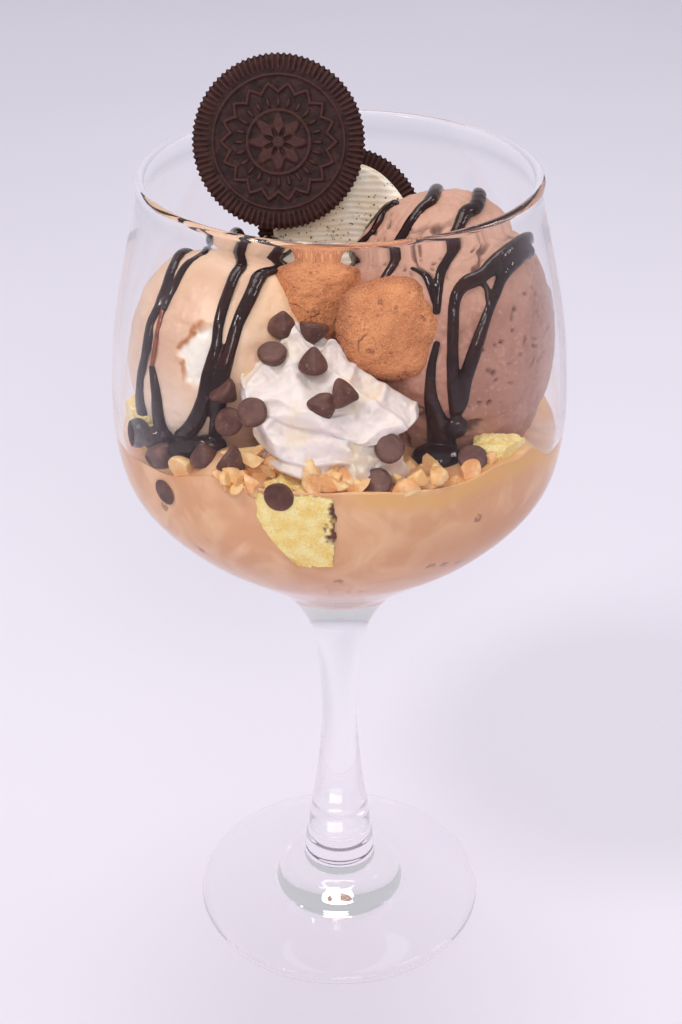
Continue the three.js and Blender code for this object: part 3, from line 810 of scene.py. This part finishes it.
def cream_top(x, y):
    """Height of the cream's surface at a place."""
    flat = np.stack([x, y, np.zeros_like(x)], -1)
    top = CREAM_LEVEL - CREAM_FRONT_RISE * y / CREAM_RADIUS - CREAM_SIDE_FALL * (x / CREAM_RADIUS) ** 2
    top = top + CREAM_WAVE * wave(flat, 0.027, 1.3)
    for bank_x, bank_y, height, radius in CREAM_BANKS:
        top = top + height * np.exp(-((x - bank_x) ** 2 + (y - bank_y) ** 2) / radius ** 2)
    return top + 0.0004 * noise(flat, 0.006, 4)


def cream(look):
    """The filling, from the bowl's floor to its uneven top, reaching just into the wall."""
    _, way = circle(CREAM_SIDES)
    line = inside_line(WALL - CREAM_INTO_WALL)
    floor_line, wall_line = line[1:BOWL_FLOOR_POINTS], line[BOWL_FLOOR_POINTS:]
    heights = np.linspace(wall_line[0, 1], GLASS_HEIGHT - 0.01, 200)
    radii = np.interp(heights, wall_line[:, 1], wall_line[:, 0])

    def radius(height):
        return np.interp(height, heights, radii)

    level = np.full(CREAM_SIDES, CREAM_LEVEL)
    for _ in range(4):
        reach = radius(level)
        level = cream_top(reach * way[0], reach * way[1]) + CREAM_MENISCUS
    rings = [ring(way, reach, height) for reach, height in floor_line]
    base = wall_line[0, 1]
    for share in np.linspace(0, 1, 60):
        height = base + (level - base) * share
        rings.append(ring(way, radius(height), height))
    edge = radius(level)
    for share in np.linspace(0, 1, 110)[1:-1]:
        reach = edge * (1 - share)
        climb = CREAM_MENISCUS * np.exp(-(edge - reach) / CREAM_MENISCUS_REACH)
        rings.append(ring(way, reach, cream_top(reach * way[0], reach * way[1]) + climb))
    points, faces = skin(np.array(rings))
    x, y, z = points.T
    # low: darker towards the bottom; on the right side it is painted shade
    low = np.maximum(step(z, 0.165, 0.125), 0.8 * step(x, 0.0, 0.03) * step(z, 0.172, 0.158))
    under = cream_top(x, y) + CREAM_MENISCUS + 0.0012 * noise(points, 0.012, 6) - z
    band = step(under, 0.0002, 0.0012) * step(under, 0.0075, 0.0035)
    wall = step(np.hypot(x, y), CREAM_RADIUS - 0.003, CREAM_RADIUS - 0.001)
    marks = {"low": low, "edge": 0.8 * band * wall * step(x, -0.004, 0.008)}
    piece("caramel_filling", points, faces, look, ["caramel_cream"], "caramel", marks=marks)


def scoop_point(scoop, direction):
    """Where a direction from a scoop's middle meets its surface."""
    start = direction * scoop["half"]
    spread = 1 + SCOOP_RELIEF * wave(start, SCOOP_WAVE, scoop["phase"])
    return scoop["centre"] + start * spread[..., None]


def vanilla(look):
    """The pale scoop, with the crusted pit in its front."""
    unit, faces = ball(SCOOP_CUTS)
    points = scoop_point(VANILLA, unit)
    away = (points - PIT_CENTRE) / PIT_HALF
    ragged = np.linalg.norm(away, axis=1) + 0.22 * rough(points, 0.004, 5)
    # pit: the hollow, dented in and painted near white, as painted light against the shade in it
    pit = step(ragged, 1.15, 0.75)
    crust = step(ragged, 1.3, 1.12) * step(ragged, 0.84, 1.0)
    crust = crust * step(away[:, 2] - 1.3 * away[:, 0], 0.0, 0.8) * step(rough(points, 0.002, 8), -0.4, 0.3)
    drag = noise(points * [0.35, 0.35, 1.6], 0.004, 3)
    shift = 0.0004 * noise(points, 0.009, 2) + 0.00018 * drag + 0.00012 * rough(points, 0.002, 6)
    shift = shift - 0.0009 * pit + pit * 0.0002 * rough(points, 0.002, 9)
    shift = shift + 0.0003 * crust * rough(points, 0.001, 4)
    points = points + shift[:, None] * unit
    pale = step(points[:, 2], 0.205, 0.185) * step(unit[:, 0], -0.2, -0.45) * 0.7
    # painted light: a warm, lighter patch on the right front that stands in for light the lamps don't give
    # there
    painted_warm_light = step(unit[:, 0], 0.1, 0.5) * step(unit[:, 1], 0.0, -0.4)
    marks = {"pit": pit, "crust": crust, "pale": pale, "painted_warm_light": painted_warm_light}
    piece("vanilla_scoop", points, faces, look, ["scoop_vanilla"], "vanilla", marks=marks)


def chocolate(look):
    """The brown scoop, with its cracks, pores and long holes."""
    unit, faces = ball(SCOOP_CUTS)
    points = scoop_point(CHOCOLATE, unit)
    bent = wound(points, 0.0035, 0.012, 30)
    near, second = cells(bent * [1.0, 1.0, 1.7], 0.017, 41)
    crack = step(second - near, 0.075, 0.0) * step(noise(points, 0.022, 12), -0.05, 0.35)
    pores = step(cells(bent * [1.0, 1.0, 1.6], 0.0034, 17)[0], 0.34, 0.12)
    pores = pores * step(noise(points, 0.012, 19), 0.0, 0.4)
    bent = points + 0.25 * (bent - points)
    slits = 0
    for spot in CHOCOLATE_SLITS:
        away = np.linalg.norm((bent - spot) / CHOCOLATE_SLIT_HALF, axis=1)
        slits = np.maximum(slits, step(away, 1.4, 0.7))
    slits = slits * step(rough(points, 0.003, 27), -0.5, 0.3)
    # cracks, pores and holes are dented and also painted dark, as painted shade in the recesses
    dark = np.maximum(np.maximum(crack, 0.8 * pores), slits)
    shift = 0.0005 * noise(points, 0.008, 2) + 0.00035 * rough(points, 0.003, 6) - 0.0011 * dark
    points = points + shift[:, None] * unit
    # high: painted light, making the scoop lighter towards its top
    marks = {"crack": dark, "high": 0.7 * step(points[:, 2], 0.212, 0.23)}
    piece("chocolate_scoop", points, faces, look, ["scoop_chocolate"], "chocolate", marks=marks)


def drizzle(scoop, route, seed):
    """A line of sauce lying on a scoop, thicker and thinner along its way."""
    route = np.array(route, float)
    b, e = np.radians(route[:, :2]).T
    knots = np.stack([np.cos(e) * np.cos(b), np.cos(e) * np.sin(b), np.sin(e), route[:, 2] / 1000], 1)
    line = spline(knots, DRIZZLE_STEPS)
    swell = 1 + DRIZZLE_SWELL * noise(line[:, :3], 0.12, seed)
    radii = DRIZZLE_WIDER * line[:, 3] * swell
    line = one_long(line[:, :3])
    up = one_long(line / scoop["half"])
    places = scoop_point(scoop, line) + up * (DRIZZLE_LIFT - DRIZZLE_SUNK * radii)[:, None]
    return tube(places, radii, up, DRIZZLE_SIDES)


def pool(centre, half, seed):
    """An uneven drop of sauce."""
    unit, faces = ball(POOL_CUTS)
    points = unit * half
    points = points * (1 + POOL_RELIEF * noise(points, POOL_LUMP, seed))[:, None]
    return points + centre, faces


def sauce(name, scoop, drizzles, pools, look, node):
    """A scoop's drizzles and pools as one body."""
    parts = [drizzle(scoop, route, k) for k, route in enumerate(drizzles)]
    parts += [pool(centre, half, k) for k, (centre, half) in enumerate(pools)]
    points, faces = melted(parts, SAUCE_VOXEL, SAUCE_SMOOTHING)
    piece(name, points, faces, look, [node], "chip")


def disc_to_room(points, place):
    """A piece lying with its top up is stood with its top to the front, leant back and moved."""
    a = math.radians(90 - place["lean"])
    turn = np.array([[1, 0, 0], [0, math.cos(a), -math.sin(a)], [0, math.sin(a), math.cos(a)]])
    return points @ turn.T + place["centre"]


def wafer_relief(x, y):
    """Height of the pressed pattern: a rosette, rings of dots and of chevrons, inside a fluted band."""
    r = np.hypot(x, y) / WAFER_RADIUS
    angle = np.arctan2(y, x)
    petals = step(np.cos(8 * angle) * 0.06 + 0.17 - np.abs(r - 0.19), 0.05, 0.13)
    heart = step(r, 0.09, 0.05)
    inner = step(np.abs(r - 0.36), 0.022, 0.01)
    dots = step(np.hypot((r - 0.45) * 9, np.sin(12 * angle)), 0.62, 0.34)
    fold = np.abs((angle * 18 / math.pi) % 2 - 1)
    chevrons = step(np.abs(r - 0.56 - 0.10 * fold), 0.035, 0.015)
    outer = step(np.abs(r - 0.755), 0.018, 0.008)
    return np.maximum.reduce([petals, heart, inner, dots, chevrons, outer])


def wafer(name, look, place, node):
    """A fluted disc, its pressed face towards the front."""
    angles, way = circle(WAFER_SIDES)
    flutes = 0.5 - 0.5 * np.cos(WAFER_FLUTES * angles)
    half = WAFER_THICK / 2
    rings, high = [], []
    for share in np.linspace(0, 1, 90)[1:]:
        reach = WAFER_RADIUS * share - WAFER_FLUTE_DEPTH * step(share, 0.9, 1.0) * (1 - flutes)
        raised = wafer_relief(reach * way[0], reach * way[1]) * step(share, 0.8, 0.78)
        band = step(share, 0.8, 0.83)
        z = half - WAFER_RELIEF + WAFER_RELIEF * raised
        z = z + band * (WAFER_FLUTE_HEIGHT * flutes - 0.0002) - 0.0006 * step(share, 0.93, 1.0)
        z = z + 0.00011 * rough(ring(way, reach, 0.0), 0.0012, 5)
        rings.append(ring(way, reach, z))
        high.append(np.maximum(raised, band * flutes))
    rim = WAFER_RADIUS - WAFER_FLUTE_DEPTH * (1 - flutes)
    for height in np.linspace(half - 0.0012, -half + 0.0004, 8):
        rings.append(ring(way, rim, height))
        high.append(flutes * 0.6)
    for share in np.linspace(0.97, 0.05, 24):
        rings.append(ring(way, rim * share, -half))
        high.append(np.zeros(WAFER_SIDES))
    points, faces = skin(np.array(rings))
    marks = {"high": np.append(np.concatenate(high), [0, 0]) * 0.8}
    points = disc_to_room(points, place)
    piece(name, points, faces, look, [node], "wafer", marks=marks)


def filling(look):
    """The cream disc on the back wafer, its face a little rippled."""
    angles, way = circle(FILLING_SIDES)
    half = FILLING_THICK / 2
    reach = FILLING_RADIUS * (1 + 0.012 * np.sin(3 * angles + 1) + 0.008 * np.sin(7 * angles))
    rings = []
    for share in np.linspace(0, 1, 90)[1:]:
        flat = ring(way, reach * share, 0.0)
        ripple = 0.00015 * np.sin(flat[:, 1] / 0.0015 * 2 * math.pi + 2.6 * noise(flat, 0.006, 7))
        ripple = ripple * step(noise(flat, 0.012, 11), -0.6, 0.2)
        z = half + ripple + 0.00015 * rough(flat, 0.003, 3) - 0.0007 * step(share, 0.93, 1.0)
        rings.append(ring(way, reach * share, z))
    for height, swell in ((0.4, 1.01), (0.0, 1.015), (-0.5, 1.01), (-1.0, 1.0)):
        rings.append(ring(way, reach * swell, half * height))
    rings.append(rings[-1] * [0.5, 0.5, 1])
    points, faces = skin(np.array(rings))
    points[:, 2] += (WAFER_THICK + FILLING_THICK) / 2
    points = disc_to_room(points, WAFER_BACK)
    piece("cream_filling", points, faces, look, ["wafer_filling"], "filling")


def crumbs(look):
    """Wafer crumbs stuck to the cream disc, most of them low down."""
    rng = np.random.default_rng(CRUMB_SEED)
    parts = []
    for _ in range(CRUMBS):
        reach, bearing = FILLING_RADIUS * math.sqrt(rng.uniform(0, 0.9)), rng.uniform(0, 2 * math.pi)
        x, y = reach * math.cos(bearing), reach * math.sin(bearing)
        if rng.uniform() < 0.25 + 0.6 * y / FILLING_RADIUS:
            continue
        points, faces = chunk(rng, CRUMB_HALF * rng.uniform(0.3, 1.0, 3), CRUMB_CUTS)
        parts.append((points + [x, y, WAFER_THICK / 2 + FILLING_THICK], faces))
    points, faces = joined(parts)
    points = disc_to_room(points, WAFER_BACK)
    piece("wafer_crumbs", points, faces, look, ["wafer_filling"], "wafer", smooth=False)


def small_cookie(name, look, size, node):
    """A round baked cookie with a flat base, its cracks and pores towards the front."""
    half, seed = size["half"], size["seed"]
    unit, faces = ball(COOKIE_CUTS)
    points = unit * half
    bent = wound(points, 0.003, 0.006, seed)
    low = step(points[:, 1] + 0.005 * noise(points, 0.008, seed + 4), 0.002, -0.003)
    crack = step(np.abs(noise(bent, 0.009, seed + 12)), 0.09, 0.0)
    crack = crack * low * step(noise(points, 0.005, seed + 5), -0.3, 0.2)
    pores = step(cells(points, 0.0014, seed + 9)[0], 0.3, 0.1)
    pores = pores * step(noise(points, 0.004, seed + 8), -0.2, 0.3)
    shift = 0.0009 * noise(points, 0.0065, seed + 2) + 0.0003 * rough(points, 0.002, seed + 6)
    shift = shift - 0.0005 * crack - 0.0002 * pores
    points = points + shift[:, None] * unit
    flat = -COOKIE_FLAT * half[2]
    points[:, 2] = np.where(points[:, 2] < flat, flat + 0.1 * (points[:, 2] - flat), points[:, 2])
    # cracks and pores painted darker: painted shade in the recesses
    dark = np.maximum(crack, 0.6 * pores)
    edge = step(np.hypot(unit[:, 0], unit[:, 1]), 0.7, 1.0)
    points = disc_to_room(points, size)
    piece(name, points, faces, look, [node], "cookie", marks={"crack": dark, "edge": edge})


def whipped_cream(look):
    """A star-piped swirl: rounded ridges run up it and a fold winds round it."""
    tiers = spline(WHIP_TIERS, WHIP_TIER_STEPS)
    share = np.linspace(0, 1, len(tiers))[:, None]
    around, (cosines, sines) = circle(WHIP_SIDES)
    spoke = np.stack(np.broadcast_arrays(cosines, sines, 2 * share), -1)
    drift = noise(spoke, 1.1, 5)
    swirl = WHIP_LOBES / 2 * (around + 1.3 * share + 0.22 * drift)
    ridge = 1 - 2 * np.sqrt(np.sin(swirl) ** 2 + WHIP_ROUND)
    turn = (around / (2 * math.pi) + WHIP_TURNS * share + 0.13 * noise(spoke, 0.8, 9)) % 1
    fold = 0.19 * np.exp(-(np.minimum(turn, 1 - turn) / 0.07) ** 2) - 0.09 * np.sin(2 * math.pi * turn)
    left_front = step(np.cos(around - WHIP_CREASE_BEARING), 0.1, 0.8)
    for height in WHIP_CREASES:
        off = share - height + 0.02 * drift
        fold = fold + WHIP_CREASE_DEPTH * left_front * np.exp(-(off / 0.022) ** 2)
    depth = 0.085 + 0.04 * noise(spoke, 0.9, 14)
    reach = 1 + depth * ridge - fold + 0.06 * noise(spoke, 0.6, 21)
    x, y, z, wide, deep = tiers.T[..., None]
    z = z + 0.0012 * ridge * np.sin(math.pi * share) + 0.0008 * drift
    rings = np.stack([x + wide * reach * cosines, y + deep * reach * sines, z], -1)
    peak = spline(WHIP_PEAK, 12)
    ridge_end = tube(peak[:, :3], peak[:, 3], np.tile(WHIP_PEAK_FACING, (len(peak), 1)), WHIP_PEAK_SIDES)
    points, faces = melted([skin(rings), ridge_end], WHIP_VOXEL, WHIP_SMOOTHING)
    bent = wound(points, 0.003, 0.009, 40, noise)
    crease = 1 - 2 * np.abs(noise(bent * [0.8, 0.8, 1.6], 0.007, 44))
    bumps = 0.0014 * crease * step(crease, -0.2, 0.6) + 0.0005 * rough(points, 0.003, 33)
    points = points + bumps[:, None] * [0.3, -0.75, 0.6]
    piece("whipped_cream_heap", points, faces, look, ["whipped_cream"], "whip")


def wall_radius(height, distance):
    """The bowl's radius at some heights, a distance in from its outer face."""
    line = inside_line(distance)[BOWL_FLOOR_POINTS + 2:]
    return np.interp(height, line[:, 1], line[:, 0])


def kept_inside(points, distance):
    """Points drawn in towards the axis where they lie less than a distance from the bowl's outer face."""
    shrink = wall_radius(points[:, 2], distance) / np.maximum(np.hypot(points[:, 0], points[:, 1]), 1e-6)
    return points * np.stack([np.minimum(shrink, 1)] * 2 + [np.ones(len(points))], 1)


def cake(name, look, centre, size, turn, seed):
    """A torn piece of sponge; the front one is pressed against the glass and coated brown."""
    unit, faces = ball(CAKE_CUTS)
    cube = unit / np.abs(unit).max(1, keepdims=True)
    points = (0.82 * cube + 0.18 * unit * 1.35) * size / 2
    away = one_long(points)
    holes = step(cells(points, 0.0013, seed)[0], 0.45, 0.15)
    shift = 0.0009 * rough(points, 0.005, seed) - 0.0003 * holes + 0.0003 * rough(points, 0.001, seed + 3)
    brown = step(points[:, 0] / size[0] + 0.09 * rough(points, 0.003, 2), 0.42, 0.46)
    brown = brown * step(points[:, 2] / size[2] + 0.15 * rough(points, 0.003, 5), -0.12, 0.0)
    points = points + (shift + 0.0003 * brown)[:, None] * away
    torn = np.maximum(-points[:, 2] / size[2] - points[:, 0] / size[0], 0)
    points[:, 0] += CAKE_TORN * size[0] * torn ** 2
    a = math.radians(turn)
    spin = np.array([[math.cos(a), -math.sin(a), 0], [math.sin(a), math.cos(a), 0], [0, 0, 1]])
    front = name == "cake_front"
    pressed = step(points[:, 1] / size[1], -0.4, -0.47) * front
    brown = brown * front
    points = points @ spin.T + centre
    spread = wall_radius(points[:, 2], WALL - CAKE_INTO_WALL) / np.hypot(points[:, 0], points[:, 1])
    points[:, :2] *= (1 + pressed * (spread - 1))[:, None]
    if not front:
        points = kept_inside(points, WALL + CAKE_OFF_WALL)
    piece(name + "_sponge", points, faces, look, [name], "cake", marks={"brown": brown})


def chip(index, look):
    """A chocolate drop with a flat base and a drawn-out tip."""
    at, tip = CHIPS[index]
    outline = spline(CHIP_OUTLINE, 4)[1:-1] * [CHIP_RADIUS, CHIP_HEIGHT / 2]
    _, way = circle(CHIP_SIDES)
    points, faces = skin(np.array([ring(way, reach, height) for reach, height in outline]))
    swell = CHIP_SHRINK + 0.05 * noise(points + index * 0.05, 0.004, index)
    points = points * (swell + 0.012 * noise(points, 0.0014, index))[:, None]
    lean = CHIP_TIP_LEAN * np.clip(points[:, 2] / CHIP_HEIGHT + 0.5, 0, 1) ** 3
    bearing = 2.4 * index
    points[:, 0] += lean * math.cos(bearing)
    points[:, 1] += lean * math.sin(bearing)
    turn = np.array(Vector((0, 0, 1)).rotation_difference(Vector(tip)).to_matrix())
    points = kept_inside(points @ turn.T + at, WALL - CHIP_INTO_WALL)
    name = f"chip_{index + 1:02d}"
    piece("drop_" + name[-2:], points, faces, look, [name], "chip")


def chunk(rng, half, cuts):
    """A chopped bit with flat broken faces."""
    points, faces = ball(cuts)
    for _ in range(CHUNK_BREAKS):
        normal = rng.normal(size=3)
        normal /= np.linalg.norm(normal)
        over = np.maximum(points @ normal - rng.uniform(0.35, 0.7), 0)
        points = points - over[:, None] * normal
    turn = np.linalg.qr(rng.normal(size=(3, 3)))[0]
    if np.linalg.det(turn) < 0:
        turn[:, 0] = -turn[:, 0]
    return (points * half * 1.25) @ turn.T, faces


def nuts(look):
    """Nuts on the cream and the front cake, in a row along the glass and in heaps."""
    rng = np.random.default_rng(NUT_SEED)
    parts = []

    def nut(place, smallest, largest):
        points, faces = chunk(rng, np.array(NUT_HALF) * rng.uniform(smallest, largest), NUT_CUTS)
        if np.linalg.norm(np.array(place) - NUT_FREE) > NUT_FREE_RADIUS:
            parts.append((points + place, faces))

    for x, y in CREAM_NUTS:
        nut([x, y, float(cream_top(np.array(x), np.array(y))) + NUT_LIFT], 0.85, 1.25)
    middle, size, _ = CAKES["cake_front"]
    cake_top = middle[2] + size[2] / 2
    for x, y in CAKE_NUTS:
        nut([x, y, cake_top + NUT_LIFT], 0.85, 1.25)
    for x in NUT_ROW:
        nut([x, -math.sqrt(NUT_ROW_REACH ** 2 - x * x), NUT_ROW_HEIGHT], 0.8, 1.1)
    for low, high, count in NUT_HEAPS:
        low, high = np.array(low), np.array(high)
        for _ in range(count):
            share = rng.uniform(size=3)
            share[2] = share[2] * share[1]
            nut(low + (high - low) * share, 0.6, 1.1)
    tone = np.concatenate([np.full(len(points), rng.uniform()) for points, _ in parts])
    points, faces = joined(parts)
    nodes = ["caramel_cream", "cake_front"]
    piece("chopped_nuts", points, faces, look, nodes, "cookie", smooth=False, marks={"tone": tone})


def floor(look):
    side = FLOOR_SIZE / 2
    points = np.array([(-side, -side, 0), (side, -side, 0), (side, side, 0), (-side, side, 0)])
    body = placed("floor", mesh_from("floor", points, [[0, 1, 2, 3]]))
    body.data.materials.append(look)


def soft_light(name, place, aim, size, power, colour):
    lamp = bpy.data.lights.new(name, "AREA")
    lamp.shape = "DISK"
    lamp.size = size
    lamp.energy = power
    lamp.color = colour
    body = placed(name, lamp)
    body.location = place
    body.rotation_euler = (Vector(aim) - Vector(place)).to_track_quat("-Z", "Y").to_euler()


def camera():
    lens = bpy.data.cameras.new("camera")
    lens.lens = CAMERA_LENS
    lens.shift_x = CAMERA_SHIFT
    body = placed("camera", lens)
    body.location = CAMERA_PLACE
    body.rotation_euler = (math.radians(90 - CAMERA_DOWN), 0, 0)
    bpy.context.scene.camera = body


def room():
    world = bpy.data.worlds.new("studio")
    world.use_nodes = True
    background = world.node_tree.nodes["Background"]
    background.inputs["Color"].default_value = ROOM_COLOUR
    background.inputs["Strength"].default_value = ROOM_STRENGTH
    bpy.context.scene.world = world
    for name, lamp in LAMPS.items():
        soft_light(name, *lamp)
    bpy.context.scene.view_settings.view_transform = "Standard"


room()
camera()
floor(floor_look())
glass(glass_look("clear_glass", GLASS_SHINE), glass_look("clear_glass_edge", EDGE_SHINE))
cream(cream_look())
vanilla(vanilla_look())
chocolate(chocolate_look())
dark = sauce_look()
sauce("vanilla_sauce", VANILLA, VANILLA_DRIZZLES, VANILLA_POOLS, dark, "scoop_vanilla")
sauce("chocolate_sauce", CHOCOLATE, CHOCOLATE_DRIZZLES, CHOCOLATE_POOLS, dark, "scoop_chocolate")
piece("amber_sauce", *drizzle(VANILLA, AMBER_DRIZZLE, 9), amber_look(), ["scoop_vanilla"], "caramel")
baked = wafer_look()
wafer("front_wafer", baked, WAFER_FRONT, "wafer_front")
wafer("back_wafer", baked, WAFER_BACK, "wafer_back")
filling(filling_look())
crumbs(crumb_look())
golden = cookie_look()
small_cookie("back_cookie", golden, COOKIE_BACK, "small_cookie_back")
small_cookie("front_cookie", golden, COOKIE_FRONT, "small_cookie_front")
whipped_cream(whip_look())
sponge = cake_look()
for number, (label, block) in enumerate(CAKES.items()):
    cake(label, sponge, *block, CAKE_SEED + number)
drop = chip_look()
for number in range(len(CHIPS)):
    chip(number, drop)
nuts(nut_look())
